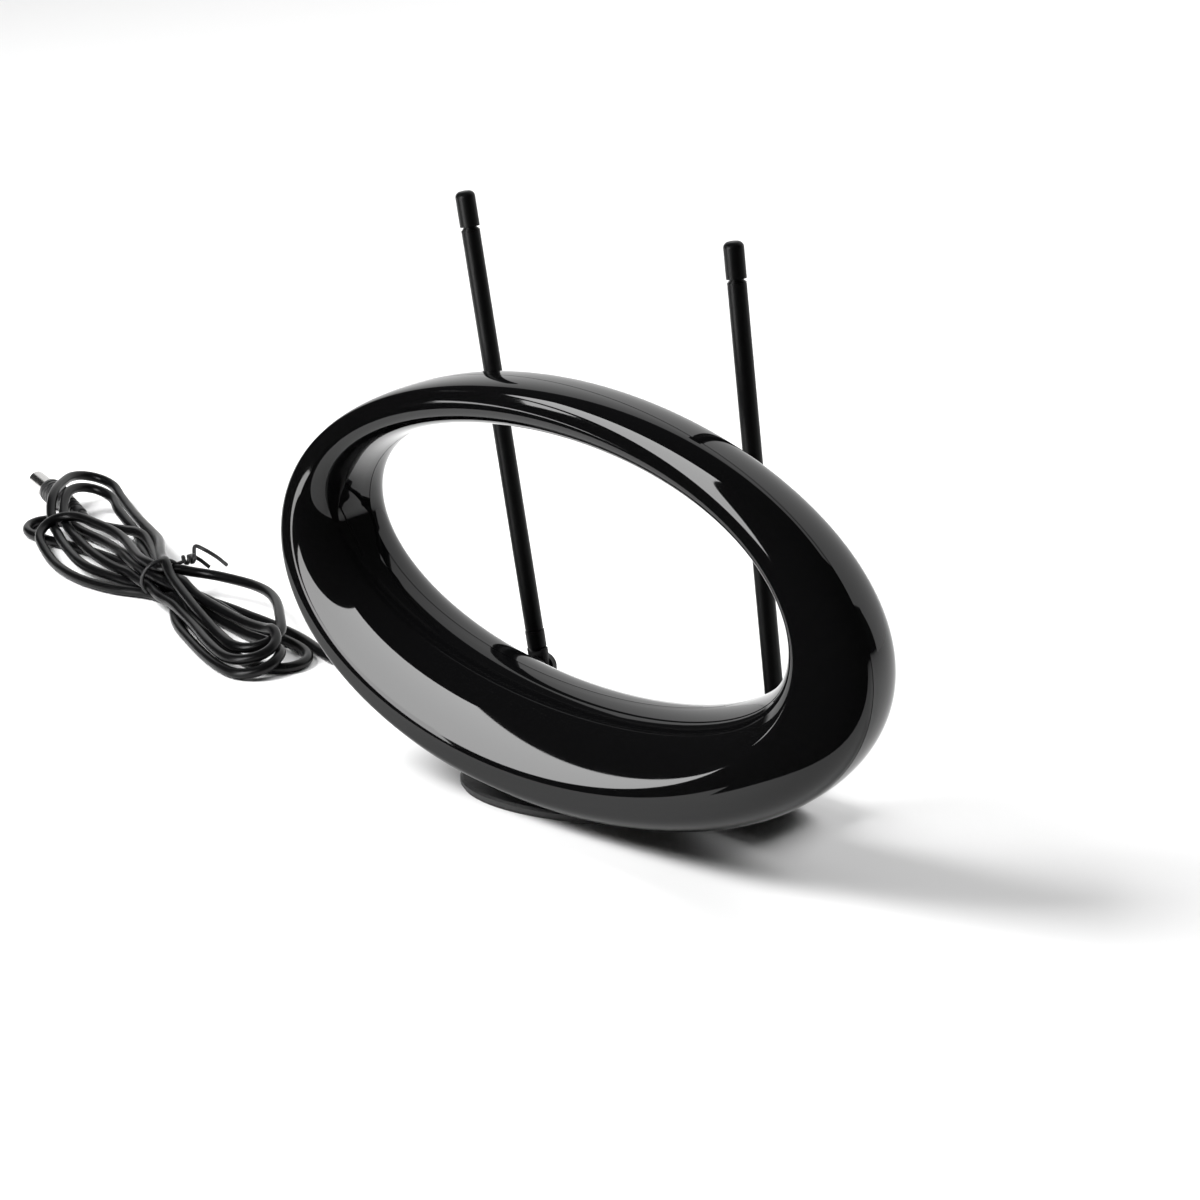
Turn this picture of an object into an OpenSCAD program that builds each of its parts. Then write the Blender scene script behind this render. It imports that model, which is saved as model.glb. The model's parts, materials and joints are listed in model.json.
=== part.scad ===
// Indoor television antenna: an oval ring on a swivelling foot, with two telescopic ears.
// Millimetres. +X runs along the ring, +Y points to the back, +Z is up.
// The origin is the middle of the foot's underside.

/* [Ring] */
// Overall width of the ring
ring_w = 306; // [280:1:330]
// Overall height of the ring
ring_h = 183; // [170:1:200]
// Width of the oval opening
opening_w = 240; // [220:1:250]
// Height of the oval opening
opening_h = 114; // [100:1:120]
// How far the opening sits left of the ring's middle
opening_shift = 6.5; // [0:0.5:10]
// How far the opening sits above the ring's middle
opening_lift = 12.5; // [8:0.5:14]
// Depth of the ring in front of its middle plane
front_depth = 23.5; // [20:0.5:27]
// Depth of the ring behind its middle plane
rear_depth = 20.5; // [18:0.5:24]
// Wall thickness of both ring shells
shell_wall = 2; // [1.6:0.1:2.4]

/* [Ears] */
// Length of a closed ear from its hinge pin to the top of its cap
ear_length = 211; // [200:1:225]
// Radius of the outer sleeve
sleeve_r = 4; // [3.8:0.05:4.2]
// How far each inner section pulls out
section_travel = 150; // [120:1:155]
// Distance between the two swivel axes
ear_spacing = 132.4; // [124:0.2:134]
// Outward lean of the left ear
left_lean = 10.7; // [0:0.1:20]
// Inward lean of the right ear
right_lean = 8.6; // [0:0.1:12]
// Forward turn of the left swivel
left_turn = 4.7; // [0:0.1:10]
// Backward turn of the right swivel
right_turn = 6.7; // [0:0.1:10]

/* [Foot] */
// Length of the oval foot
foot_l = 152; // [146:1:166]
// Width of the oval foot
foot_w = 88; // [84:1:92]
// How far the foot is turned under the ring
foot_turn = 38; // [20:1:45]

/* [Lead] */
// Diameter of the coaxial lead
lead_d = 5; // [4:0.1:5.5]

/* [Hidden] */
$fn = 48;

// Ring: place and shape. Angle t runs round the ring from +X towards +Z.
ring_y = -35;
ring_z = 96;
ring_steps = 72;
crease_w = 272.6;
crease_h = 167.8;
crease_x = -11.7;
crease_z = 2;
crease_lobe = 0.6;
front_side = -4.8;
front_lift = -3.5;
rear_taper = 7.7;
outer_seam_y = -7.4;
inner_seam_y = 4.4;
inner_seam_dip = 1.6;
rim_power = 2.2;
face_power = 2.5;
face_power_rise = 0.6;
rear_power = 2.4;

// Loop strip inside the ring
loop_t = 0.8;
loop_depth = 8;
loop_y = -8;
loop_gap = 14;
loop_cx = -opening_shift / 2;
loop_cz = opening_lift / 2;
loop_rx = (ring_w + opening_w) / 4;
loop_rz = (ring_h + opening_h) / 4;
loop_foot_z = ring_z + loop_cz - loop_rz;
spacer_angles = [30, 90, 150, 200, 340];

// Foot stack
mat_t = 1.5;
weight_t = 1.5;
foot_top = 4.2;
foot_edge = 2;

// Housing behind the ring
housing_z = 4.5;
housing_top = 23.7;
housing_l = 164;
housing_front = -8;
housing_back = 28;
housing_wall = 2.6;
housing_corner = 9;
end_sweep_x = 68;
end_sweep_rise = 0.6;
cover_t = 2.5;
boss_z = 18.6;
boss_x = 24;
boss_r = 4;
boss_end = -14.6;
cover_screw_x = [-50, -15, 15, 50];
cover_screw_z = 17;

// Pivot between foot and housing
pivot_r = 2.5;
running = 0.06;

// Board in the housing
board_l = 60;
board_w = 17;
board_y = 6.5;
board_z = 9;
board_t = 1.6;

// Ear swivels and hinges
hinge_z = 33;
ear_y = 11.9;
turret_r = 8.5;
turret_z = 24;
turret_floor = 27.4;
spindle_r = 3;
spindle_bottom = 15;
pin_r = 1.5;
tongue_t = 4;
tongue_r = 4.6;
side_gap = 0.2;
ear_t = 2.6;
ear_r = 5.4;

// Ear sections, measured along the ear from the hinge pin
groove_s = 17;
sleeve_start = 17.8;
cap_len = 15;
cap_r = 4.25;
section_wall = 0.42;
section_step = 0.5;
sleeve_end = ear_length - cap_len - 1.6;

// Lead: centre-line points in order, from the strain relief to the hank
lead_r = lead_d / 2;
gland = [-82, 8, 10];
gland_len = 22;
lead_points = [
    [-104, 8, 10], [-110, 8, 9.6], [-117, 8, 8], [-124, 8, 5.6], [-131, 8.2, 3.6],
    [-139, 8.6, 2.7], [-148, 9, 2.6], [-158, 9.6, 2.6], [-168, 10.4, 2.6], [-178, 11.3, 2.6],
    [-188, 12.3, 2.6], [-197, 13.4, 2.6], [-205, 15.2, 2.6]
];
lead_sides = 10;
plug_tip = [-487, 85, 6.6];
plug_turn = -20;
barrel_len = 19;
barrel_r = 4.75;
grip_len = 44;
grip_r = 6.5;
hank_h = 20;
tie_at = [-320, 20];
tie_turn = -22;

// ---- Ring surfaces ----

function outer_edge(t) = [ring_w / 2 * cos(t), ring_h / 2 * sin(t)];
function inner_edge(t) = [
    opening_w / 2 * cos(t) - opening_shift,
    opening_h / 2 * sin(t) + opening_lift
];
function crease_edge(t) = [
    crease_x + crease_w / 2 * cos(t) + crease_lobe * cos(2 * t),
    crease_z + crease_h / 2 * sin(t)
];
function across(t) = let (d = outer_edge(t) - inner_edge(t)) d / norm(d);
function crease_y(t) = -(front_depth + front_side * cos(t) + front_lift * sin(t));
function rear_y(t) = rear_depth - rear_taper * sin(t);
function inner_y(t) = inner_seam_y - inner_seam_dip * sin(t);
function ring_point(uw, v) = [uw[0], ring_y + v, ring_z + uw[1]];

// Rounded rim from the outer seam (q = 0) to the crease (q = 90), inset by d
function rim(t, q, d) = let (
    edge = outer_edge(t) - d * across(t),
    c = crease_edge(t),
    f = pow(cos(q), 2 / rim_power),
    g = pow(sin(q), 2 / rim_power)
) ring_point(c + (edge - c) * f, outer_seam_y + (crease_y(t) + d - outer_seam_y) * g);

// Front face from the inner seam (q = 0) to the crease (q = 90), inset by d
function face(t, q, d) = let (
    edge = inner_edge(t) + d * across(t),
    c = crease_edge(t),
    power = face_power + face_power_rise * sin(t),
    f = pow(cos(q), 2 / power),
    g = pow(sin(q), 2 / power)
) ring_point(c + (edge - c) * f, inner_y(t) + (crease_y(t) + d - inner_y(t)) * g);

// Rounded back from the outer seam (q = 0) to the inner seam (q = 180), inset by d
function back(t, q, d) = let (
    o = outer_edge(t) - d * across(t),
    i = inner_edge(t) + d * across(t),
    w = cos(q),
    f = sign(w) * pow(abs(w), 2 / rear_power),
    g = pow(abs(sin(q)), 2 / rear_power),
    seam = outer_seam_y * (1 + f) / 2 + inner_y(t) * (1 - f) / 2
) ring_point((o + i) / 2 + (o - i) / 2 * f, seam + (rear_y(t) - d - seam) * g);

function front_profile(t) = concat(
    [for (q = [0, 12, 27, 45, 63, 78]) rim(t, q, 0)],
    [for (q = [90, 74, 58, 44, 32, 20, 10, 0]) face(t, q, 0)],
    [for (q = [0, 20, 45, 70]) face(t, q, shell_wall)],
    [for (q = [90, 65, 40, 18, 0]) rim(t, q, shell_wall)]
);
function rear_profile(t) = concat(
    [for (q = [180 : -15 : 0]) back(t, q, 0)],
    [for (q = [0 : 22.5 : 180]) back(t, q, shell_wall)]
);

// Closed tube of rows: each row is one closed section, and the last row joins the first
module loft_ring(rows) {
    n = len(rows);
    m = len(rows[0]);
    points = [for (row = rows) each row];
    faces = [
        for (i = [0 : n - 1], k = [0 : m - 1])
            let (a = i, b = (i + 1) % n, p = k, q = (k + 1) % m)
            each [
                [a * m + p, a * m + q, b * m + q],
                [a * m + p, b * m + q, b * m + p]
            ]
    ];
    polyhedron(points = points, faces = faces, convexity = 8);
}

// ---- Shared shapes ----

function oval(rx, ry, steps) = [for (i = [0 : steps - 1]) [rx * cos(360 * i / steps), ry * sin(360 * i / steps)]];

module ring_shape(outer, inner, height) {
    difference() {
        cylinder(r = outer, h = height);
        translate([0, 0, -1]) cylinder(r = inner, h = height + 2);
    }
}

module cross_screw(shank_r, shank_len, head_r, head_h) {
    difference() {
        union() {
            cylinder(r = shank_r, h = shank_len);
            translate([0, 0, shank_len]) cylinder(r = head_r, h = head_h);
        }
        for (turn = [0, 90])
            rotate([0, 0, turn])
                translate([-head_r * 0.6, -head_h * 0.16, shank_len + head_h * 0.45])
                    cube([head_r * 1.2, head_h * 0.32, head_h]);
    }
}

// Swept round tube through a list of points; the rings stand square to the route
module tube(points, r, sides) {
    n = len(points);
    dirs = [for (i = [0 : n - 1]) points[min(i + 1, n - 1)] - points[max(i - 1, 0)]];
    rows = [
        for (i = [0 : n - 1])
            let (d = dirs[i] / norm(dirs[i]), side = cross(d, [0, 0, 1]) / norm(cross(d, [0, 0, 1])), up = cross(side, d))
            [for (k = [0 : sides - 1]) points[i] + r * (cos(360 * k / sides) * side + sin(360 * k / sides) * up)]
    ];
    walls = [
        for (i = [0 : n - 2], k = [0 : sides - 1])
            let (q = (k + 1) % sides)
            each [
                [i * sides + k, (i + 1) * sides + q, i * sides + q],
                [i * sides + k, (i + 1) * sides + k, (i + 1) * sides + q]
            ]
    ];
    first = [for (k = [0 : sides - 1]) k];
    last = [for (k = [sides - 1 : -1 : 0]) (n - 1) * sides + k];
    polyhedron(points = [for (row = rows) each row], faces = concat(walls, [first, last]), convexity = 4);
}

module rounded_plate(length, width, corner, height) {
    linear_extrude(height)
        union() {
            square([length - 2 * corner, width], center = true);
            square([length, width - 2 * corner], center = true);
            for (x = [-1, 1], y = [-1, 1])
                translate([x * (length / 2 - corner), y * (width / 2 - corner)]) circle(r = corner);
        }
}

// ---- Ring ----

module front_shell() {
    color("#0b0b0d") loft_ring([for (i = [0 : ring_steps - 1]) front_profile(360 * i / ring_steps)]);
}

module rear_shell() {
    color("#101012")
        difference() {
            loft_ring([for (i = [0 : ring_steps - 1]) rear_profile(360 * i / ring_steps)]);
            for (x = [-boss_x, 0, boss_x])
                translate([x, boss_end - 4, boss_z])
                    rotate([-90, 0, 0])
                        cylinder(r = boss_r + 0.15, h = 20);
        }
}

module loop_outline(grow) {
    translate([loop_cx, loop_cz]) polygon(oval(loop_rx + grow, loop_rz + grow, ring_steps));
}

module loop_element() {
    color("#c9cbce")
        translate([0, ring_y + loop_y + loop_depth, ring_z])
            rotate([90, 0, 0])
                difference() {
                    linear_extrude(loop_depth)
                        difference() {
                            loop_outline(loop_t / 2);
                            loop_outline(-loop_t / 2);
                        }
                    translate([loop_cx - loop_gap / 2, -ring_h, -1]) cube([loop_gap, ring_h - 40, loop_depth + 2]);
                }
}

module loop_spacers() {
    color("#e8e4d8")
        for (t = spacer_angles) {
            place = [loop_cx + loop_rx * cos(t), loop_cz + loop_rz * sin(t)];
            depth = rear_y(t) - shell_wall - 2 - (loop_y - 3);
            difference() {
                translate([place[0], ring_y + loop_y - 3, ring_z + place[1]])
                    rotate([-90, 0, 0])
                        cylinder(r = 4, h = depth);
                translate([0, ring_y + loop_y + loop_depth + 0.1, ring_z])
                    rotate([90, 0, 0])
                        linear_extrude(loop_depth + 4)
                            difference() {
                                loop_outline(loop_t / 2 + 0.1);
                                loop_outline(-loop_t / 2 - 0.1);
                            }
            }
        }
}

module clamp_plate() {
    color("#8d9094")
        difference() {
            translate([-28, boss_end - 1.8, 16]) cube([56, 1.8, 7]);
            translate([0, boss_end - 4, boss_z])
                rotate([-90, 0, 0])
                    cylinder(r = 2.4, h = 8);
            for (x = [-boss_x, boss_x])
                translate([x, boss_end - 4, boss_z])
                    rotate([-90, 0, 0])
                        cylinder(r = 1.5, h = 8);
        }
}

module ring_screws() {
    color("#5c5e62")
        for (x = [-boss_x, boss_x])
            translate([x, boss_end - 3, boss_z])
                rotate([-90, 0, 0])
                    cross_screw(1.5, 3 - boss_end + housing_front + housing_wall, 2.5, 1.8);
}

// ---- Housing ----

// Space below the housing's right end, which sweeps up
module end_sweep(lift) {
    reach = housing_l;
    translate([end_sweep_x, reach / 2, housing_z + lift])
        rotate([90, 0, 0])
            linear_extrude(reach)
                polygon([[0, 0], [reach, reach * end_sweep_rise], [reach, -housing_top], [0, -housing_top]]);
}

module housing() {
    mid_y = (housing_front + housing_back) / 2;
    depth = housing_back - housing_front;
    color("#141415")
        difference() {
            union() {
                difference() {
                    hull() {
                        translate([0, mid_y, housing_z])
                            rounded_plate(housing_l, depth, housing_corner, housing_top - housing_z - 2.5);
                        translate([0, mid_y, housing_z])
                            rounded_plate(housing_l - 5, depth - 5, housing_corner - 2.5, housing_top - housing_z);
                    }
                    difference() {
                        translate([
                            -housing_l / 2 + housing_corner / 2,
                            housing_front + housing_wall,
                            housing_z + housing_wall
                        ])
                            cube([housing_l - housing_corner, depth, housing_top - housing_z - housing_wall - 2.5]);
                        end_sweep(housing_wall);
                    }
                }
                for (x = [-1, 1])
                    translate([x * ear_spacing / 2, ear_y, spindle_bottom + 1])
                        cylinder(r = spindle_r + 2.5, h = housing_top - spindle_bottom - 2);
                for (x = cover_screw_x)
                    translate([x, housing_front + 1, cover_screw_z])
                        rotate([-90, 0, 0])
                            cylinder(r = 3.2, h = depth - cover_t - 1);
                for (x = [-boss_x, 0, boss_x])
                    translate([x, boss_end, boss_z])
                        rotate([-90, 0, 0])
                            cylinder(r = boss_r, h = housing_front + 1 - boss_end);
                for (x = [-1, 1])
                    translate([x * (board_l / 2 - 4), board_y + board_w / 2, housing_z + 1])
                        cylinder(r = 2.6, h = board_z - housing_z - 1);
            }
            for (x = [-1, 1])
                translate([x * ear_spacing / 2, ear_y, 0])
                    cylinder(r = spindle_r + running, h = 40);
            for (x = cover_screw_x)
                translate([x, housing_front + 6, cover_screw_z])
                    rotate([-90, 0, 0])
                        cylinder(r = 1.25, h = depth);
            for (x = [-boss_x, boss_x])
                translate([x, boss_end - 1, boss_z])
                    rotate([-90, 0, 0])
                        cylinder(r = 1.55, h = 12);
            translate([0, boss_end - 1, boss_z])
                rotate([-90, 0, 0])
                    cylinder(r = 2.4, h = 12);
            for (x = [-1, 1])
                translate([x * (board_l / 2 - 4), board_y + board_w / 2, housing_z + 1.5])
                    cylinder(r = 0.9, h = 10);
            translate([0, 0, 0]) cylinder(r = pivot_r + running, h = 12);
            translate([-housing_l, gland[1], gland[2]])
                rotate([0, 90, 0])
                    cylinder(r = 3.6, h = housing_l);
            end_sweep(0);
        }
}

module housing_cover() {
    color("#161617")
        difference() {
            translate([
                -housing_l / 2 + housing_corner / 2 + 0.2,
                housing_back - cover_t,
                housing_z + housing_wall + 0.2
            ])
                cube([
                    housing_l - housing_corner - 0.4,
                    cover_t,
                    housing_top - housing_z - housing_wall - 2.9
                ]);
            for (x = cover_screw_x)
                translate([x, 0, cover_screw_z])
                    rotate([-90, 0, 0])
                        cylinder(r = 1.6, h = 60);
            end_sweep(housing_wall + 0.2);
        }
}

module cover_screws() {
    color("#3a3b3e")
        for (x = cover_screw_x)
            translate([x, housing_back - cover_t - 8, cover_screw_z])
                rotate([-90, 0, 0])
                    cross_screw(1.25, 8 + cover_t, 2.7, 1.6);
}

module circuit_board() {
    color("#1e6b3a")
        difference() {
            translate([-board_l / 2, board_y, board_z]) cube([board_l, board_w, board_t]);
            for (x = [-1, 1])
                translate([x * (board_l / 2 - 4), board_y + board_w / 2, board_z - 1])
                    cylinder(r = 1.3, h = 4);
        }
}

module board_screws() {
    color("#8d9094")
        for (x = [-1, 1])
            translate([x * (board_l / 2 - 4), board_y + board_w / 2, board_z - 2.6])
                cross_screw(0.9, 2.6 + board_t, 2, 1.2);
}

// Two-hole ferrite core that matches the ears and loop to the lead
module balun_core() {
    color("#2c2c30")
        translate([2, board_y + 4, board_z + board_t])
            difference() {
                cube([7, 8, 3.2]);
                for (y = [2.3, 5.7])
                    translate([-1, y, 1.6])
                        rotate([0, 90, 0])
                            cylinder(r = 0.95, h = 10);
            }
}

module balun_windings() {
    color("#b4622d")
        for (y = [2.3, 5.7])
            for (turn = [-1, 1])
                translate([0.6, board_y + 4 + y + turn * 0.42, board_z + board_t + 1.6])
                    rotate([0, 90, 0])
                        cylinder(r = 0.28, h = 9.8, $fn = 16);
}

module board_components() {
    color("#b9b09a") {
        for (i = [0 : 3])
            translate([-14 + i * 3.4, board_y + 3, board_z + board_t]) cube([2, 1.2, 0.9]);
        for (i = [0 : 2])
            translate([13 + i * 3.6, board_y + 12, board_z + board_t]) cube([2, 1.2, 0.9]);
        translate([-10, board_y + 11, board_z + board_t]) cylinder(r = 2, h = 2.6);
        translate([15, board_y + 5, board_z + board_t]) ring_shape(2.6, 1.2, 1.8);
    }
}

module coax_clamp() {
    color("#a8abb0")
        translate([-44, gland[1], gland[2]])
            difference() {
                union() {
                    rotate([0, 90, 0]) cylinder(r = 2.9, h = 4);
                    translate([0, 0, -2.9]) cube([4, 8, 0.8]);
                }
                translate([-1, 0, 0]) rotate([0, 90, 0]) cylinder(r = lead_r, h = 6);
                translate([2, 5.6, -4]) cylinder(r = 0.9, h = 3);
            }
}

module lead_core() {
    color("#b87333")
        translate([-board_l / 2 - 2, gland[1], board_z + board_t + 0.45])
            rotate([0, 90, 0])
                cylinder(r = 0.45, h = 8);
}

module loop_leads() {
    color("#c46a1e")
        for (x = [-1, 1])
            tube([
                [loop_cx + x * (loop_gap / 2 + 2), ring_y + loop_y + loop_depth + 0.3, loop_foot_z + 1.2],
                [loop_cx + x * (loop_gap / 2 + 1), ring_y + loop_y + loop_depth + 4, loop_foot_z],
                [x * 3, boss_end - 4, boss_z + 1],
                [x * 1.1, boss_end, boss_z],
                [x * 1.1, housing_front + 1.5, boss_z],
                [x * 1.1 + 1.5, housing_front + 7, boss_z - 0.6],
                [x * 1.1 + 4, board_y - 2.5, board_z + board_t + 5.5],
                [x * 1.1 + 5.2, board_y + 0.6, board_z + board_t + 3.6],
                [x * 1.1 + 5.5, board_y + 1.6, board_z + board_t]
            ], 0.55, 8);
}

module ear_leads() {
    color("#c4241e")
        for (x = [-1, 1])
            tube([
                [x * (ear_spacing / 2 - 4), ear_y + 3.2, spindle_bottom - 1],
                [x * (ear_spacing / 2 - 12), ear_y + 5, spindle_bottom - 1.6],
                [x * (board_l / 2 + 8), ear_y + 7, board_z + board_t + 1.8],
                [x * (board_l / 2 - 4), ear_y + 8, board_z + board_t + 1.9],
                [x * (board_l / 2 - 9), ear_y + 8.4, board_z + board_t + 1.8],
                [x * (board_l / 2 - 10.5), ear_y + 8.6, board_z + board_t]
            ], 0.55, 8);
}

// ---- Foot ----

module foot_oval(inset, height) {
    linear_extrude(height) polygon(oval(foot_l / 2 - inset, foot_w / 2 - inset, 72));
}

module foot_shell() {
    color("#121213")
        rotate([0, 0, foot_turn])
            difference() {
                hull() {
                    translate([0, 0, mat_t]) foot_oval(0, foot_top - mat_t - 0.9);
                    translate([0, 0, mat_t]) foot_oval(1.2, foot_top - mat_t);
                }
                translate([0, 0, mat_t - 1]) foot_oval(foot_edge, weight_t + 1);
                cylinder(r = pivot_r + 0.05, h = 12);
            }
}

module foot_weight() {
    color("#6d7074")
        rotate([0, 0, foot_turn])
            difference() {
                translate([0, 0, mat_t]) foot_oval(foot_edge + 0.2, weight_t - 0.1);
                cylinder(r = pivot_r + 0.05, h = 12);
            }
}

module foot_mat() {
    color("#1c1c1c") rotate([0, 0, foot_turn]) foot_oval(1, mat_t);
}

module pivot_bolt() {
    color("#8d9094") translate([0, 0, mat_t]) cylinder(r = pivot_r, h = 11);
}

module pivot_nut() {
    color("#9a9da2")
        translate([0, 0, housing_z + housing_wall + 0.3])
            difference() {
                union() {
                    cylinder(r = 4.6, h = 0.8);
                    translate([0, 0, 0.8]) cylinder(r = 4, h = 2.8, $fn = 6);
                }
                translate([0, 0, -1]) cylinder(r = pivot_r, h = 6);
            }
}

// ---- Ears: drawn upright on the Z axis with the hinge pin along Y, then set at side and angles ----

// side is -1 for the left ear and 1 for the right one. Positive lean is outward.
module at_swivel(side, turn) {
    translate([side * ear_spacing / 2, ear_y, 0]) rotate([0, 0, turn]) children();
}

module at_hinge(side, turn, lean) {
    at_swivel(side, turn)
        translate([0, 0, hinge_z])
            rotate([0, side * lean, 0])
                children();
}

module turret() {
    gap = tongue_t / 2 + side_gap;
    color("#151516")
        difference() {
            union() {
                translate([0, 0, turret_z]) cylinder(r = turret_r, h = turret_floor - turret_z);
                translate([0, 0, spindle_bottom + 0.6]) cylinder(r = spindle_r, h = turret_z - spindle_bottom);
                for (s = [-1, 1]) {
                    translate([0, s * (gap + ear_t / 2), hinge_z])
                        rotate([90, 0, 0])
                            cylinder(r = ear_r, h = ear_t, center = true);
                    translate([-ear_r, s * (gap + ear_t / 2) - ear_t / 2, turret_floor - 1])
                        cube([2 * ear_r, ear_t, hinge_z - turret_floor + 1]);
                }
            }
            translate([0, 0, hinge_z]) rotate([90, 0, 0]) cylinder(r = pin_r, h = 30, center = true);
            translate([0, 0, 10]) cylinder(r = 1, h = 14);
        }
}

module turret_screw() {
    color("#8d9094")
        translate([0, 0, spindle_bottom + 8])
            rotate([180, 0, 0])
                cross_screw(1, 8.1, 2.4, 1.4);
}

module turret_washer() {
    color("#b0b3b8") translate([0, 0, spindle_bottom - 0.1]) ring_shape(5.2, 1.05, 0.7);
}

module hinge_pin() {
    half = tongue_t / 2 + side_gap + ear_t;
    color("#9a9da2")
        translate([0, half, hinge_z])
            rotate([90, 0, 0]) {
                cylinder(r = pin_r, h = 2 * half);
                translate([0, 0, -0.8]) cylinder(r = 2.4, h = 0.8);
                translate([0, 0, 2 * half]) cylinder(r = 2.2, h = 0.6);
            }
}

module knuckle() {
    color("#17181a")
        difference() {
            union() {
                intersection() {
                    union() {
                        rotate([90, 0, 0]) cylinder(r = tongue_r, h = tongue_t, center = true);
                        translate([-tongue_r, -tongue_t / 2, 0]) cube([2 * tongue_r, tongue_t, 9]);
                    }
                    translate([0, 0, -10]) cylinder(r = tongue_r, h = 30);
                }
                translate([0, 0, 8]) cylinder(r1 = 3.4, r2 = 4.2, h = 1.6);
                translate([0, 0, 9.6]) cylinder(r = 4.2, h = groove_s - 9.6);
                translate([0, 0, groove_s]) cylinder(r = sleeve_r - section_wall, h = 5);
            }
            rotate([90, 0, 0]) cylinder(r = pin_r + running, h = 20, center = true);
        }
}

// Telescopic section number k: 0 is the sleeve, and each next one is a step thinner
function section_r(k) = sleeve_r - section_step * k;
function section_bore(k) = section_r(k) - section_wall;

module sleeve() {
    color("#1b1c1e")
        translate([0, 0, sleeve_start])
            ring_shape(section_r(0), section_bore(0), sleeve_end - sleeve_start);
}

module inner_section(k) {
    start = sleeve_start + 5 + 2 * k;
    color("#2a2b2e")
        translate([0, 0, start])
            ring_shape(section_r(k), section_bore(k), sleeve_end + 0.5 * k - start);
}

module tip_rod() {
    start = sleeve_start + 11;
    color("#2a2b2e")
        translate([0, 0, start])
            ring_shape(section_r(3), section_bore(3), ear_length - 5 - start);
}

module tip_cap() {
    color("#141516")
        translate([0, 0, ear_length - cap_len])
            difference() {
                rotate_extrude()
                    union() {
                        square([cap_r, cap_len - 2.5]);
                        square([cap_r - 2.5, cap_len]);
                        translate([cap_r - 2.5, cap_len - 2.5])
                            intersection() {
                                circle(r = 2.5);
                                square(3);
                            }
                    }
                translate([0, 0, -1]) cylinder(r = section_r(3), h = cap_len - 4);
            }
}

module left_turret() { at_swivel(-1, left_turn) turret(); }
module left_turret_screw() { at_swivel(-1, left_turn) turret_screw(); }
module left_turret_washer() { at_swivel(-1, left_turn) turret_washer(); }
module left_hinge_pin() { at_swivel(-1, left_turn) hinge_pin(); }
module left_knuckle() { at_hinge(-1, left_turn, left_lean) knuckle(); }
module left_sleeve() { at_hinge(-1, left_turn, left_lean) sleeve(); }
module left_section_2() { at_hinge(-1, left_turn, left_lean) inner_section(1); }
module left_section_3() { at_hinge(-1, left_turn, left_lean) inner_section(2); }
module left_tip_rod() { at_hinge(-1, left_turn, left_lean) tip_rod(); }
module left_tip_cap() { at_hinge(-1, left_turn, left_lean) tip_cap(); }

module right_turret() { at_swivel(1, -right_turn) turret(); }
module right_turret_screw() { at_swivel(1, -right_turn) turret_screw(); }
module right_turret_washer() { at_swivel(1, -right_turn) turret_washer(); }
module right_hinge_pin() { at_swivel(1, -right_turn) hinge_pin(); }
module right_knuckle() { at_hinge(1, -right_turn, -right_lean) knuckle(); }
module right_sleeve() { at_hinge(1, -right_turn, -right_lean) sleeve(); }
module right_section_2() { at_hinge(1, -right_turn, -right_lean) inner_section(1); }
module right_section_3() { at_hinge(1, -right_turn, -right_lean) inner_section(2); }
module right_tip_rod() { at_hinge(1, -right_turn, -right_lean) tip_rod(); }
module right_tip_cap() { at_hinge(1, -right_turn, -right_lean) tip_cap(); }

// ---- Lead ----

module strain_relief() {
    color("#131314")
        translate(gland)
            rotate([0, -90, 0])
                difference() {
                    union() {
                        translate([0, 0, -housing_corner / 2]) cylinder(r = 3.6, h = housing_corner / 2);
                        cylinder(r1 = 4.6, r2 = 3.4, h = gland_len);
                        translate([-2.8, -4.6, -housing_corner / 2 - 1.6]) cube([7.4, 9.2, 1.6]);
                    }
                    translate([0, 0, -8]) cylinder(r = lead_r, h = gland_len + 12);
                }
}

module inner_lead() {
    color("#161617")
        translate([gland[0] - gland_len, gland[1], gland[2]])
            rotate([0, 90, 0])
                cylinder(r = lead_r, h = gland_len - gland[0] - board_l / 2 - 2);
}

module lead_run() {
    color("#161617") tube(lead_points, lead_r, lead_sides);
}

module lead_hank() {
    color("#161617")
        linear_extrude(hank_h) {
            hull() {
                translate([-223, -8]) circle(r = 22);
                translate([-268, 28]) circle(r = 18);
                translate(tie_at) circle(r = 8);
            }
            hull() {
                translate([-442, 86]) circle(r = 19);
                translate([-416, 34]) circle(r = 24);
                translate(tie_at) circle(r = 8);
            }
        }
}

module twist_tie() {
    color("#0f0f10")
        translate([tie_at[0], tie_at[1], 0])
            rotate([0, 0, tie_turn])
                difference() {
                    translate([-1.2, -10.2, 0]) cube([2.4, 20.4, hank_h + 0.8]);
                    translate([-2, -9.4, -1]) cube([4, 18.8, hank_h + 1]);
                }
}

module along_plug() {
    translate(plug_tip) rotate([0, 0, plug_turn]) rotate([0, 90, 0]) children();
}

module plug_barrel() {
    color("#d4d5d8")
        along_plug()
            difference() {
                cylinder(r = barrel_r, h = barrel_len);
                translate([0, 0, -1]) cylinder(r = barrel_r - 0.5, h = 12);
            }
}

module plug_insulator() {
    color("#e9e7df")
        along_plug()
            translate([0, 0, 8])
                ring_shape(barrel_r - 0.55, 1.2, 2.9);
}

module plug_pin() {
    color("#d9c27a")
        along_plug()
            translate([0, 0, 1.2])
                union() {
                    cylinder(r = 1.18, h = 9.7);
                    sphere(r = 1.18);
                }
}

module plug_grip() {
    color("#131314")
        along_plug()
            translate([0, 0, barrel_len])
                union() {
                    cylinder(r = grip_r, h = 14);
                    translate([0, 0, 14]) cylinder(r1 = grip_r, r2 = 3.6, h = grip_len - 14);
                }
}

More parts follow.
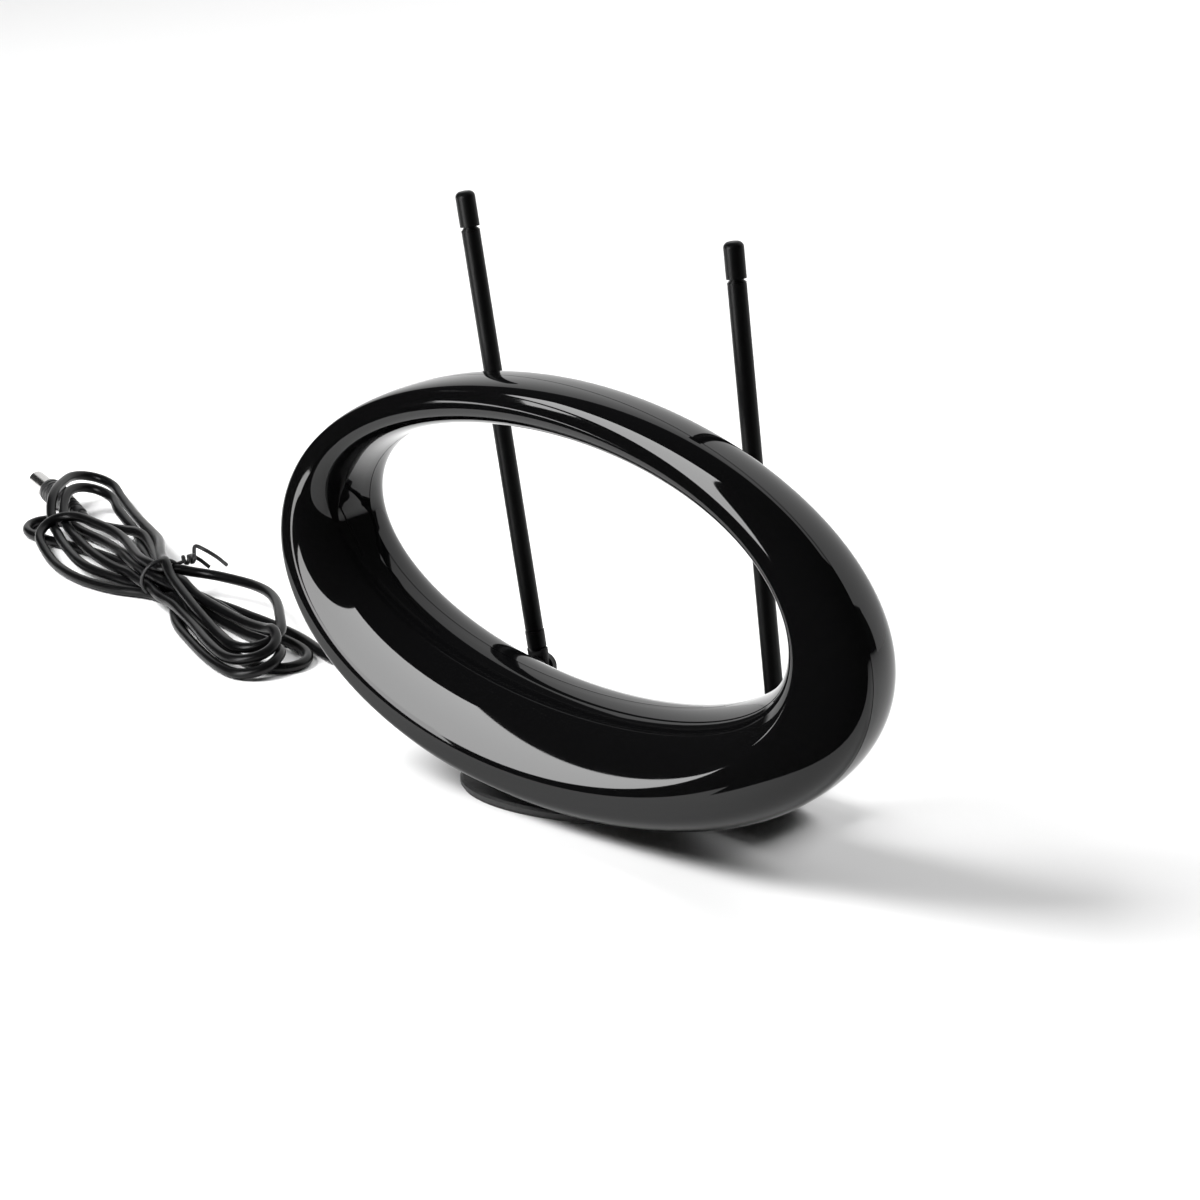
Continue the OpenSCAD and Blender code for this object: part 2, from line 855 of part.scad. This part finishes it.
front_shell();
rear_shell();
loop_element();
loop_spacers();
clamp_plate();
ring_screws();
housing();
housing_cover();
cover_screws();
circuit_board();
board_screws();
balun_core();
balun_windings();
board_components();
coax_clamp();
lead_core();
loop_leads();
ear_leads();
foot_shell();
foot_weight();
foot_mat();
pivot_bolt();
pivot_nut();
left_turret();
left_turret_screw();
left_turret_washer();
left_hinge_pin();
left_knuckle();
left_sleeve();
left_section_2();
left_section_3();
left_tip_rod();
left_tip_cap();
right_turret();
right_turret_screw();
right_turret_washer();
right_hinge_pin();
right_knuckle();
right_sleeve();
right_section_2();
right_section_3();
right_tip_rod();
right_tip_cap();
strain_relief();
inner_lead();
lead_run();
lead_hank();
twist_tie();
plug_grip();
plug_barrel();
plug_insulator();
plug_pin();
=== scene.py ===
import json
import math

import bpy
import numpy as np
from mathutils import Matrix, Vector


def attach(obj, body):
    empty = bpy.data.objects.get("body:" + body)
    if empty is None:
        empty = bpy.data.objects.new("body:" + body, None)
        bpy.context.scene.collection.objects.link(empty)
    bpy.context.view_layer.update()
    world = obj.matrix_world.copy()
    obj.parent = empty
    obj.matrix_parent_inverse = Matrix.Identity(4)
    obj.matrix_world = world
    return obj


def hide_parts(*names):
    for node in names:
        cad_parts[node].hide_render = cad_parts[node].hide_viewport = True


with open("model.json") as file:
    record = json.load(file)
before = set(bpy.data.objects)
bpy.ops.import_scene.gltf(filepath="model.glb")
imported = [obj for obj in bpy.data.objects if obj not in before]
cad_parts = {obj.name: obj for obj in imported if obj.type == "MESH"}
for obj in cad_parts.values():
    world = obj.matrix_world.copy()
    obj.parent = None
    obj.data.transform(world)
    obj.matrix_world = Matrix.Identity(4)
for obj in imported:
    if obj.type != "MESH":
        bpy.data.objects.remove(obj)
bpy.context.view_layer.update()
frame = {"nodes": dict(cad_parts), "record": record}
nodes = frame["nodes"]
MM = 0.001
SHARP_ANGLE = math.radians(35)

# ---------------------------------------------------------------- helpers


def add(obj):
    bpy.context.scene.collection.objects.link(obj)
    return obj


def mesh_object(name, verts, faces, smooth=True):
    mesh = bpy.data.meshes.new(name)
    mesh.from_pydata([tuple(float(c) for c in v) for v in verts], [], faces)
    mesh.validate()
    mesh.update()
    if smooth:
        mesh.polygons.foreach_set("use_smooth", [True] * len(mesh.polygons))
        mesh.set_sharp_from_angle(angle=SHARP_ANGLE)
    return add(bpy.data.objects.new(name, mesh))


def curve_object(name, points, radius, resolution=5):
    data = bpy.data.curves.new(name, "CURVE")
    data.dimensions = "3D"
    data.bevel_depth = radius
    data.bevel_resolution = resolution
    data.use_fill_caps = True
    line = data.splines.new("POLY")
    line.points.add(len(points) - 1)
    for k, p in enumerate(points):
        line.points[k].co = (*[float(c) for c in p], 1.0)
    line.use_smooth = True
    return add(bpy.data.objects.new(name, data))


def smooth_line(points, per=8):
    """Centripetal curve through given points."""
    p = np.array(points, float)
    p = np.vstack([2 * p[0] - p[1], p, 2 * p[-1] - p[-2]])
    out = []
    for a, b, c, d in zip(p[:-3], p[1:-2], p[2:-1], p[3:]):
        t1 = np.linalg.norm(b - a) ** 0.5
        t2 = t1 + np.linalg.norm(c - b) ** 0.5
        t3 = t2 + np.linalg.norm(d - c) ** 0.5
        for t in np.linspace(t1, t2, per, endpoint=False):
            ab = (t1 - t) / t1 * a + t / t1 * b
            bc = (t2 - t) / (t2 - t1) * b + (t - t1) / (t2 - t1) * c
            cd = (t3 - t) / (t3 - t2) * c + (t - t2) / (t3 - t2) * d
            left = (t2 - t) / t2 * ab + t / t2 * bc
            right = (t3 - t) / (t3 - t1) * bc + (t - t1) / (t3 - t1) * cd
            out.append((t2 - t) / (t2 - t1) * left + (t - t1) / (t2 - t1) * right)
    out.append(p[-2])
    return np.array(out)


def even_steps(line, step):
    run = np.r_[0, np.cumsum(np.linalg.norm(np.diff(line, axis=0), axis=1))]
    at = np.linspace(0, run[-1], int(round(run[-1] / step)) + 1)
    return np.stack([np.interp(at, run, line[:, k]) for k in range(3)], 1)


# ---------------------------------------------------------------- materials


GRAIN_DETAIL, BUMP_DETAIL = 4.0, 3.0
BUMP_DEPTH = 0.0003


def material(name, color, rough, metal=0.0, grain=0.0, grain_size=400.0,
             bump=0.0, bump_size=900.0, specular=0.5):
    """Principled shader whose roughness and surface vary a little."""
    m = bpy.data.materials.new(name)
    m.use_nodes = True
    tree = m.node_tree
    shader = tree.nodes["Principled BSDF"]
    shader.inputs["Base Color"].default_value = (*color, 1.0)
    shader.inputs["Metallic"].default_value = metal
    shader.inputs["Roughness"].default_value = rough
    shader.inputs["Specular IOR Level"].default_value = specular
    place = tree.nodes.new("ShaderNodeTexCoord")
    noise = tree.nodes.new("ShaderNodeTexNoise")
    noise.inputs["Scale"].default_value = grain_size
    noise.inputs["Detail"].default_value = GRAIN_DETAIL
    tree.links.new(place.outputs["Object"], noise.inputs["Vector"])
    spread = tree.nodes.new("ShaderNodeMapRange")
    spread.inputs["To Min"].default_value = max(rough - grain, 0.0)
    spread.inputs["To Max"].default_value = min(rough + grain, 1.0)
    tree.links.new(noise.outputs["Fac"], spread.inputs["Value"])
    tree.links.new(spread.outputs["Result"], shader.inputs["Roughness"])
    if bump:
        rough_noise = tree.nodes.new("ShaderNodeTexNoise")
        rough_noise.inputs["Scale"].default_value = bump_size
        rough_noise.inputs["Detail"].default_value = BUMP_DETAIL
        tree.links.new(place.outputs["Object"], rough_noise.inputs["Vector"])
        lift = tree.nodes.new("ShaderNodeBump")
        lift.inputs["Strength"].default_value = bump
        lift.inputs["Distance"].default_value = BUMP_DEPTH
        tree.links.new(rough_noise.outputs["Fac"], lift.inputs["Height"])
        tree.links.new(lift.outputs["Normal"], shader.inputs["Normal"])
    return m


GLOSS = material(
    "gloss_black", (0.0025, 0.0025, 0.0027), 0.035, grain=0.015, grain_size=60.0, specular=0.4
)
SATIN = material(
    "satin_black_paint", (0.003, 0.003, 0.0032), 0.4, grain=0.05, bump=0.08, specular=0.16
)
PLASTIC = material("textured_black_plastic", (0.012, 0.012, 0.0125), 0.5, grain=0.06, bump=0.35)
RUBBER = material("mat_rubber", (0.02, 0.02, 0.02), 0.75, grain=0.05, bump=0.3)
JACKET = material(
    "lead_jacket", (0.003, 0.003, 0.0032), 0.3, grain=0.06, grain_size=150.0, specular=0.22
)
MOULD = material("plug_moulding", (0.013, 0.013, 0.0135), 0.4, grain=0.05, bump=0.15)
TIE = material("twist_tie_plastic", (0.01, 0.01, 0.0105), 0.4, grain=0.05)
NICKEL = material("nickel", (0.62, 0.61, 0.6), 0.22, metal=1.0, grain=0.05, grain_size=900.0)
ZINC = material("zinc_plate", (0.55, 0.56, 0.58), 0.35, metal=1.0, grain=0.08)
DARK_ZINC = material("black_zinc", (0.03, 0.03, 0.033), 0.35, metal=1.0, grain=0.08)
STEEL = material("plain_steel", (0.4, 0.41, 0.42), 0.45, metal=1.0, grain=0.1)
ALUMINIUM = material("mill_aluminium", (0.8, 0.8, 0.82), 0.3, metal=1.0, grain=0.08)
COPPER = material("copper", (0.7, 0.32, 0.16), 0.3, metal=1.0, grain=0.05)
BRASS = material("brass", (0.78, 0.6, 0.28), 0.25, metal=1.0, grain=0.05)
NYLON = material("nylon", (0.75, 0.73, 0.67), 0.45, grain=0.05)
BOARD = material("board_green", (0.02, 0.16, 0.06), 0.35, grain=0.05)
FERRITE = material("ferrite", (0.04, 0.04, 0.045), 0.6, grain=0.08, bump=0.2)
CERAMIC = material("components", (0.5, 0.44, 0.32), 0.5, grain=0.05)
WIRE = material("wire_insulation", (0.45, 0.08, 0.03), 0.4, grain=0.05)
WHITE_PLASTIC = material("insulator", (0.8, 0.79, 0.75), 0.4, grain=0.05)

BY_SLOT = {
    "ring_gloss": GLOSS, "ring_rear": GLOSS, "loop_strip": ALUMINIUM, "nylon": NYLON,
    "zinc_steel": ZINC, "dark_screw": DARK_ZINC, "housing_plastic": PLASTIC,
    "board_green": BOARD, "ferrite": FERRITE, "copper": COPPER, "component_body": CERAMIC,
    "clamp_tin": ZINC, "lead_wire": WIRE, "foot_plastic": PLASTIC, "weight_steel": STEEL,
    "mat_rubber": RUBBER, "turret_plastic": PLASTIC, "ear_black": SATIN,
    "lead_jacket": JACKET, "tie_plastic": TIE, "plug_nickel": NICKEL,
    "insulator_white": WHITE_PLASTIC, "pin_brass": BRASS,
}
for part in frame["record"]["subparts"]:
    mesh = nodes[part["node"]].data
    if not mesh.materials:
        mesh.materials.append(BY_SLOT[part["material_slot"]])
    for k in range(len(mesh.materials)):
        mesh.materials[k] = BY_SLOT[part["material_slot"]]

# ---------------------------------------------------------------- camera

TURN = math.radians(41.08)
LIFT = math.radians(20.66)
CAMERA_AT = (0.8920, -1.0582, 0.6079)
LENS_MM, SENSOR_MM = 106.15, 36.0
SHIFT_X, SHIFT_Y = 0.0132, -0.0036

right = Vector((math.cos(TURN), math.sin(TURN), 0))
up = Vector((-math.sin(TURN) * math.sin(LIFT), math.cos(TURN) * math.sin(LIFT), math.cos(LIFT)))
back = right.cross(up)
lens = bpy.data.cameras.new("camera")
lens.lens = LENS_MM
lens.sensor_width = SENSOR_MM
lens.shift_x = SHIFT_X
lens.shift_y = SHIFT_Y
camera = add(bpy.data.objects.new("camera", lens))
camera.matrix_world = Matrix((
    (right.x, up.x, back.x, CAMERA_AT[0]),
    (right.y, up.y, back.y, CAMERA_AT[1]),
    (right.z, up.z, back.z, CAMERA_AT[2]),
    (0, 0, 0, 1),
))
bpy.context.scene.camera = camera

# ---------------------------------------------------------------- lead

LEAD_D = 5.0
RUN = [
    (-104, 8, 10), (-110, 8, 9.6), (-117, 8, 8), (-124, 8, 5.6), (-131, 8.2, 3.6),
    (-139, 8.6, 2.7), (-148, 9, 2.6), (-158, 9.6, 2.6), (-168, 10.4, 2.6), (-178, 11.3, 2.6),
    (-188, 12.3, 2.6), (-197, 13.4, 2.6), (-205, 15.2, 2.6),
]
# The hank: nine strands through one tie, each loop listed in the order the lead runs
HANK = [
    # in from the ring
    (-222, 21, 2.5), (-238, 24, 3), (-256, 26, 3), (-274, 26, 4), (-320, 20, 7),
    # small loop at the far left
    (-360, 34, 5), (-382, 37, 3), (-400, 36, 3), (-415, 34, 3), (-427, 34, 3), (-438, 38, 3),
    (-446, 47, 4), (-438, 55, 4), (-418, 53, 4), (-391, 48, 5), (-321, 17, 12),
    # fold at the right
    (-287, 24, 6), (-261, 19, 3), (-239, 15, 3), (-226, 15, 3), (-211, 11, 3), (-202, 0, 3),
    (-203, -10, 3), (-211, -15, 3), (-225, -16, 3), (-242, -12, 3), (-267, -2, 3),
    (-321, 17, 2.5),
    # lower left loop
    (-337, 9, 3), (-349, 7, 3), (-362, 6, 3), (-379, 9, 3), (-398, 16, 4), (-415, 26, 7),
    (-424, 37, 10), (-419, 45, 13), (-401, 47, 14), (-377, 44, 14), (-321, 18, 16),
    # big right loop
    (-305, 36, 13), (-292, 38, 13), (-276, 40, 13), (-257, 34, 14), (-236, 18, 14),
    (-222, 2, 12), (-221, -10, 9), (-231, -13, 7.5), (-250, -8, 8), (-319, 22, 16),
    # outer upper left loop, over the plug
    (-369, 60, 11), (-397, 75, 9), (-428, 91, 9), (-449, 99, 12), (-458, 93, 15),
    (-453, 75, 17), (-441, 56, 17), (-434, 48, 12), (-422, 40, 8), (-393, 24, 7.5),
    (-365, 13, 7), (-319, 23, 2.5),
    # lowest right loop
    (-284, -4, 3), (-262, -15, 3), (-242, -24, 3), (-224, -29, 3), (-211, -27, 4),
    (-205, -20, 6), (-209, -9, 9), (-222, 1, 8), (-238, 6, 5), (-257, 10, 3), (-318, 25, 7),
    # inner upper left loop
    (-392, 66, 8), (-416, 77, 10), (-435, 85, 12), (-443, 81, 15), (-440, 69, 16),
    (-434, 57, 13), (-420, 46, 9), (-392, 33, 8), (-365, 23, 8), (-322, 15, 7),
    # second low loop
    (-271, -6, 8), (-246, -19, 8), (-228, -25, 8), (-215, -23, 9), (-210, -16, 11),
    (-214, -6, 14), (-227, 3, 13), (-243, 7, 10), (-261, 11, 9), (-319, 23, 12),
    # out to the plug
    (-364, 53, 10), (-390, 62, 8), (-410, 58, 7), (-422, 61.4, 6.6), (-428.4, 63.6, 6.6),
]
TIE_AT = np.array([-320.0, 20.0, 0.0])
TIE_TURN = math.radians(-22)


# How the strands are settled: distances in millimetres, rounds as counts, and the shares of a
# bend or of a strand's distance from home that each round gives back
SETTLE_STEP, LEAD_STEP = 3.0, 2.0
SETTLE_ROUNDS, LAST_ROUNDS = 300, 60
SEARCH_EVERY, SEARCH_MARGIN = 6, 2.5
NEIGHBOUR_GAPS = 3.5
FOLD_RADIUS = 14.0
FOLD_OPENING, LAST_OPENING = 0.12, 0.03
BEND_EASE, BEND_STIFFNESS = 0.08, 0.22
HOLD_PLAN, HOLD_HEIGHT = 0.012, 0.02
SINK = 0.02
TABLE_CLEARANCE = 0.05


def settle(route, gap):
    """Lets the strands of a springy lead push each other apart and come to rest on the table."""
    line = even_steps(smooth_line(route), SETTLE_STEP)
    home = line.copy()
    index = np.arange(len(line))
    reach = int(round(2 * gap / SETTLE_STEP))
    skip = int(NEIGHBOUR_GAPS * gap / SETTLE_STEP)
    apart = np.triu(np.abs(index[:, None] - index[None]) > skip)
    for turn in range(SETTLE_ROUNDS):
        if turn % SEARCH_EVERY == 0:
            near = np.linalg.norm(line[:, None] - line[None], axis=2) < gap + SEARCH_MARGIN
            one, two = np.where(apart & near)
        between = line[one] - line[two]
        far = np.linalg.norm(between, axis=1)
        hit = far < gap
        push = between[hit] * ((gap - far[hit]) / np.maximum(far[hit], 1e-6) / 2)[:, None]
        moved = np.zeros_like(line)
        count = np.zeros(len(line))
        for ends, sign in ((one[hit], 1), (two[hit], -1)):
            np.add.at(moved, ends, sign * push)
            np.add.at(count, ends, 1)
        line += moved / np.maximum(count, 1)[:, None]
        bend = np.zeros_like(line)
        bend[1:-1] = (line[:-2] + line[2:]) / 2 - line[1:-1]
        stiff = np.zeros_like(line)
        stiff[1:-1] = (bend[:-2] + bend[2:]) / 2 - bend[1:-1]
        line += BEND_EASE * bend - BEND_STIFFNESS * stiff
        # A bend tighter than FOLD_RADIUS has its ends drawn apart
        low, mid, high = line[:-2 * reach], line[reach:-reach], line[2 * reach:]
        turn_area = np.linalg.norm(np.cross(mid - low, high - mid), axis=1)
        legs = np.linalg.norm(mid - low, axis=1) * np.linalg.norm(high - mid, axis=1)
        span = np.linalg.norm(high - low, axis=1)
        tight = legs * span < 2 * FOLD_RADIUS * turn_area
        opening = FOLD_OPENING if turn < SETTLE_ROUNDS - LAST_ROUNDS else LAST_OPENING
        spread = (high - low) / span[:, None] * np.where(tight, opening, 0.0)[:, None]
        line[2 * reach:] += spread
        line[:-2 * reach] -= spread
        line[:, :2] += (home[:, :2] - line[:, :2]) * HOLD_PLAN
        line[:, 2] += (home[:, 2] - line[:, 2]) * HOLD_HEIGHT - SINK
        line[:, 2] = np.maximum(line[:, 2], gap / 2 + TABLE_CLEARANCE)
        line[:2] = home[:2]
        line[-2:] = home[-2:]
    return line


hank = settle([RUN[-2], RUN[-1]] + HANK, LEAD_D)
run_line = even_steps(smooth_line(RUN[:-1]), SETTLE_STEP)
lead_line = np.vstack([run_line[:-1], even_steps(smooth_line(hank, 3), LEAD_STEP)])
lead = curve_object("lead", lead_line * MM, LEAD_D / 2 * MM)
lead.data.materials.append(JACKET)
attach(lead, "head")
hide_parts("lead_run", "lead_hank")


def at_tie(across, along, height):
    c, s = math.cos(TIE_TURN), math.sin(TIE_TURN)
    return TIE_AT + np.array([along * c - across * s, along * s + across * c, height])


TIE_R = 1.0
TIE_HALF_W, TIE_HALF_H, TIE_LEAN, TIE_MIDDLE = 10.0, 9.4, 1.2, 10.4
TIE_START_DEG, TIE_STEPS = 40, 72
KNOT_TURNS, KNOT_R, KNOT_STEPS = 2.5, 1.7, 24
KNOT_START, KNOT_LENGTH, KNOT_HEIGHT = 11, 7, 17.5
tie_loop = [
    at_tie(TIE_HALF_W * math.cos(a), TIE_LEAN * math.sin(a), TIE_MIDDLE + TIE_HALF_H * math.sin(a))
    for a in np.linspace(math.radians(TIE_START_DEG), math.radians(TIE_START_DEG - 360), TIE_STEPS)
]
knot = [
    at_tie(
        KNOT_START + KNOT_LENGTH * k / KNOT_STEPS,
        KNOT_R * math.cos(a),
        KNOT_HEIGHT + KNOT_R * math.sin(a),
    )
    for k, a in enumerate(np.linspace(0, 2 * math.pi * KNOT_TURNS, KNOT_STEPS + 1))
]
tail_long = smooth_line(
    [knot[-1], (-320, 43, 20.5), (-315, 45, 19), (-312, 50, 14.5), (-311, 55, 9.5)], 6
)
tail_short = smooth_line([knot[-6], (-320, 40, 16.5), (-316, 41.5, 15), (-312, 44.5, 11)], 6)
tie_line = np.vstack([tie_loop, knot, tail_long[1:]])
twist = curve_object("twist_tie_wire", tie_line * MM, TIE_R * MM, 4)
twist_tail = curve_object("twist_tie_tail", tail_short * MM, TIE_R * MM, 4)
for piece in (twist, twist_tail):
    piece.data.materials.append(TIE)
    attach(piece, "head")
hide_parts("twist_tie")

# ---------------------------------------------------------------- plug grip

PLUG_TIP = np.array([-487.0, 85.0, 6.6])
PLUG_TURN = math.radians(-20)
PLUG_DIR = Vector((math.cos(PLUG_TURN), math.sin(PLUG_TURN), 0))
BARREL_LEN = 19.0
GRIP = [
    (0, 4.9), (0.3, 5.9), (0.9, 6.4), (1.8, 6.5), (3.2, 6.5), (3.6, 6.1), (4.6, 6.1), (5.0, 6.5),
    (6.4, 6.5), (6.8, 6.1), (7.8, 6.1), (8.2, 6.5), (9.6, 6.5), (10.0, 6.1), (11.0, 6.1),
    (11.4, 6.5), (13.4, 6.5), (14.4, 6.2), (16, 5.6), (20, 5.0), (24, 4.75), (24.4, 4.2),
    (25.4, 4.2), (25.8, 4.6), (28.4, 4.4), (28.8, 3.9), (29.8, 3.9), (30.2, 4.25), (32.8, 4.05),
    (33.2, 3.6), (34.2, 3.6), (34.6, 3.9), (37.2, 3.75), (37.6, 3.3), (38.6, 3.3), (39.0, 3.6),
    (43.2, 3.3), (43.8, 2.9), (44.0, 2.5),
]


def lathe(name, profile, origin, direction, steps=48):
    turn = Vector((0, 0, 1)).rotation_difference(direction).to_matrix()
    verts, faces = [], []
    for z, r in profile:
        for k in range(steps):
            a = 2 * math.pi * k / steps
            spoke = turn @ Vector((r * math.cos(a), r * math.sin(a), z))
            verts.append((spoke + Vector(origin)) * MM)
    rows = len(profile)
    for i in range(rows - 1):
        for k in range(steps):
            n = (k + 1) % steps
            faces.append((i * steps + k, i * steps + n, (i + 1) * steps + n, (i + 1) * steps + k))
    faces.append(tuple(range(steps - 1, -1, -1)))
    faces.append(tuple((rows - 1) * steps + k for k in range(steps)))
    return mesh_object(name, verts, faces)


grip_at = PLUG_TIP + BARREL_LEN * np.array(PLUG_DIR)
grip = lathe("plug_grip_moulding", GRIP, grip_at, PLUG_DIR)
grip.data.materials.append(MOULD)
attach(grip, "head")
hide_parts("plug_grip")

# ---------------------------------------------------------------- ring shells

RING_Y, RING_Z = -35.0, 96.0
RING_W, RING_H = 306.0, 183.0
OPENING_W, OPENING_H = 240.0, 114.0
OPENING_SHIFT, OPENING_LIFT = 6.5, 12.5
CREASE_W, CREASE_H, CREASE_X, CREASE_Z = 272.6, 167.8, -11.7, 2.0
CREASE_LOBE = 0.6
FRONT_DEPTH, REAR_DEPTH = 23.5, 20.5
FRONT_DEPTH_TURN, FRONT_DEPTH_RISE, REAR_DEPTH_RISE = 4.8, 3.5, 7.7
OUTER_SEAM, INNER_SEAM, INNER_DIP = -7.4, 4.4, 1.6
RIM_POWER, REAR_POWER = 2.2, 2.4
FACE_POWER, FACE_POWER_RISE = 2.5, 0.6
WALL = 2.0
SEAM_GAP = 0.2
RING_STEPS = 288
RIM_ROWS, FACE_ROWS, REAR_ROWS = 34, 44, 60


def bow(q, power):
    """Cosine and sine of the rounded profile at angle q."""
    c, s = math.cos(q), math.sin(q)
    return math.copysign(abs(c) ** (2 / power), c), abs(s) ** (2 / power)


class Slice:
    """The ring's section at angle t."""

    def __init__(self, t):
        c, s = math.cos(t), math.sin(t)
        self.outer = np.array([RING_W / 2 * c, RING_H / 2 * s])
        self.inner = np.array([OPENING_W / 2 * c - OPENING_SHIFT, OPENING_H / 2 * s + OPENING_LIFT])
        self.crease = np.array([
            CREASE_X + CREASE_W / 2 * c + CREASE_LOBE * math.cos(2 * t),
            CREASE_Z + CREASE_H / 2 * s,
        ])
        self.across = (self.outer - self.inner) / np.linalg.norm(self.outer - self.inner)
        self.crease_y = -(FRONT_DEPTH - FRONT_DEPTH_TURN * c - FRONT_DEPTH_RISE * s)
        self.rear_y = REAR_DEPTH - REAR_DEPTH_RISE * s
        self.inner_y = INNER_SEAM - INNER_DIP * s
        self.face_power = FACE_POWER + FACE_POWER_RISE * s

    def point(self, uw, v):
        return (uw[0] * MM, (RING_Y + v) * MM, (RING_Z + uw[1]) * MM)

    def rim(self, q, d=0.0):
        edge = self.outer - d * self.across
        f, g = bow(q, RIM_POWER)
        uw = self.crease + (edge - self.crease) * f
        return self.point(uw, OUTER_SEAM + (self.crease_y + d - OUTER_SEAM) * g)

    def face(self, q, d=0.0):
        edge = self.inner + d * self.across
        f, g = bow(q, self.face_power)
        uw = self.crease + (edge - self.crease) * f
        return self.point(uw, self.inner_y + (self.crease_y + d - self.inner_y) * g)

    def back(self, q, d=0.0):
        o = self.outer - d * self.across
        i = self.inner + d * self.across
        f, g = bow(q, REAR_POWER)
        seam = OUTER_SEAM * (1 + f) / 2 + self.inner_y * (1 - f) / 2
        return self.point((o + i) / 2 + (o - i) / 2 * f, seam + (self.rear_y - d - seam) * g)


def spaced(low, high, count):
    """Angles from low to high degrees, closer together near both ends."""
    return [
        math.radians(low + (high - low) * (0.5 - 0.5 * math.cos(math.pi * k / (count - 1))))
        for k in range(count)
    ]


def gap_lip(point, towards):
    """A seam edge drawn back a little, so the joint shows as a fine line."""
    return tuple(p + t * SEAM_GAP * MM for p, t in zip(point, towards))


def shell_mesh(name, section, steps=RING_STEPS):
    verts, rows = [], None
    for k in range(steps):
        row = section(Slice(2 * math.pi * k / steps))
        rows = len(row)
        verts += row
    faces = []
    for k in range(steps):
        n = (k + 1) % steps
        for r in range(rows):
            s = (r + 1) % rows
            faces.append((k * rows + r, k * rows + s, n * rows + s, n * rows + r))
    obj = mesh_object(name, verts, faces)
    obj.data.materials.append(GLOSS)
    return obj


def front_section(s):
    row = [gap_lip(s.rim(0), (0, -1, 0))]
    row += [s.rim(q) for q in spaced(6, 90, RIM_ROWS)]
    row += [s.face(q) for q in spaced(90, 6, FACE_ROWS)[1:]]
    row += [gap_lip(s.face(0), (0, -1, 0))]
    row += [s.face(math.radians(q), WALL) for q in (0, 20, 45, 70)]
    row += [s.rim(math.radians(q), WALL) for q in (90, 65, 40, 18, 0)]
    return row


def rear_section(s):
    row = [gap_lip(s.back(math.pi), (0, 1, 0))]
    row += [s.back(q) for q in spaced(176, 4, REAR_ROWS)]
    row += [gap_lip(s.back(0), (0, 1, 0))]
    row += [s.back(math.radians(q), WALL) for q in (0, 22, 45, 68, 90, 112, 135, 158, 180)]
    return row


front = shell_mesh("ring_front", front_section)
rear = shell_mesh("ring_rear", rear_section)
for piece, node, slot in ((front, "front_shell", "ring_gloss"), (rear, "rear_shell", "ring_rear")):
    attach(piece, "head")
    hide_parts(node)

# ---------------------------------------------------------------- light and floor


def plane(name, corners, mat):
    obj = mesh_object(name, corners, [(0, 1, 2, 3)], smooth=False)
    obj.data.materials.append(mat)
    return obj


FLOOR = material("floor_white", (0.86, 0.86, 0.86), 0.6, grain=0.05, grain_size=20.0, specular=0.0)
# The floor's front part is seen by the camera but not mirrored in the gloss
REACH = 6
FRONT_EDGE = [(-REACH, -1.66, 0), (REACH, 1.34, 0)]
plane("floor", [*FRONT_EDGE, (REACH, REACH, 0), (-REACH, REACH, 0)], FLOOR)
floor_front = plane(
    "floor_front", [(-REACH, -REACH, 0), (REACH, -REACH, 0), FRONT_EDGE[1], FRONT_EDGE[0]], FLOOR
)
floor_front.visible_glossy = False


def card(name, corners, low, high):
    """A reflector seen only in gloss, from low brightness at its foot to high at its top."""
    mat = bpy.data.materials.new(name)
    mat.use_nodes = True
    tree = mat.node_tree
    tree.nodes.clear()
    out = tree.nodes.new("ShaderNodeOutputMaterial")
    shine = tree.nodes.new("ShaderNodeEmission")
    place = tree.nodes.new("ShaderNodeTexCoord")
    split = tree.nodes.new("ShaderNodeSeparateXYZ")
    ramp = tree.nodes.new("ShaderNodeMapRange")
    ramp.inputs["From Min"].default_value = min(c[2] for c in corners)
    ramp.inputs["From Max"].default_value = max(c[2] for c in corners)
    ramp.inputs["To Min"].default_value = low
    ramp.inputs["To Max"].default_value = high
    tree.links.new(place.outputs["Object"], split.inputs["Vector"])
    tree.links.new(split.outputs["Z"], ramp.inputs["Value"])
    tree.links.new(ramp.outputs["Result"], shine.inputs["Strength"])
    tree.links.new(shine.outputs["Emission"], out.inputs["Surface"])
    obj = plane(name, corners, mat)
    obj.visible_camera = False
    obj.visible_diffuse = False
    obj.visible_shadow = False
    return obj


def area(name, where, aim, size, power):
    """A soft light that lights surfaces but is not mirrored in them."""
    data = bpy.data.lights.new(name, "AREA")
    data.energy = power
    data.size = size
    obj = add(bpy.data.objects.new(name, data))
    obj.location = where
    obj.rotation_euler = (Vector(aim) - Vector(where)).to_track_quat("-Z", "Y").to_euler()
    obj.visible_glossy = False
    return obj


area("key", (-0.87, -0.73, 1.13), (0, 0, 0.05), 0.8, 40)
area("fill", (0.2, 0.3, 2.5), (0, 0, 0), 3.0, 14)
area("back_fill", (-0.4, 2.3, 2.2), (-0.4, 1.2, 0), 3.0, 85)
card(
    "front_card",
    [(-0.36, -0.50, 0.0), (-0.19, -0.58, 0.0), (0.0, -0.42, 0.42), (-0.29, -0.41, 0.42)],
    9.5, 12,
)
card(
    "low_card",
    [(-0.30, -0.36, 0.0), (-0.17, -0.25, 0.0), (-0.17, -0.25, 0.025), (-0.30, -0.36, 0.025)],
    8, 8,
)
card("back_card", [(-2.4, 0.6, 0.0), (1.2, 1.5, 0.0), (1.2, 1.5, 2.2), (-2.4, 0.6, 2.2)], 1.0, 1.1)

WORLD_STRENGTH = 0.03
world = bpy.data.worlds.new("studio")
world.use_nodes = True
world.node_tree.nodes["Background"].inputs["Color"].default_value = (1, 1, 1, 1)
world.node_tree.nodes["Background"].inputs["Strength"].default_value = WORLD_STRENGTH
bpy.context.scene.world = world
bpy.context.scene.view_settings.view_transform = "Standard"
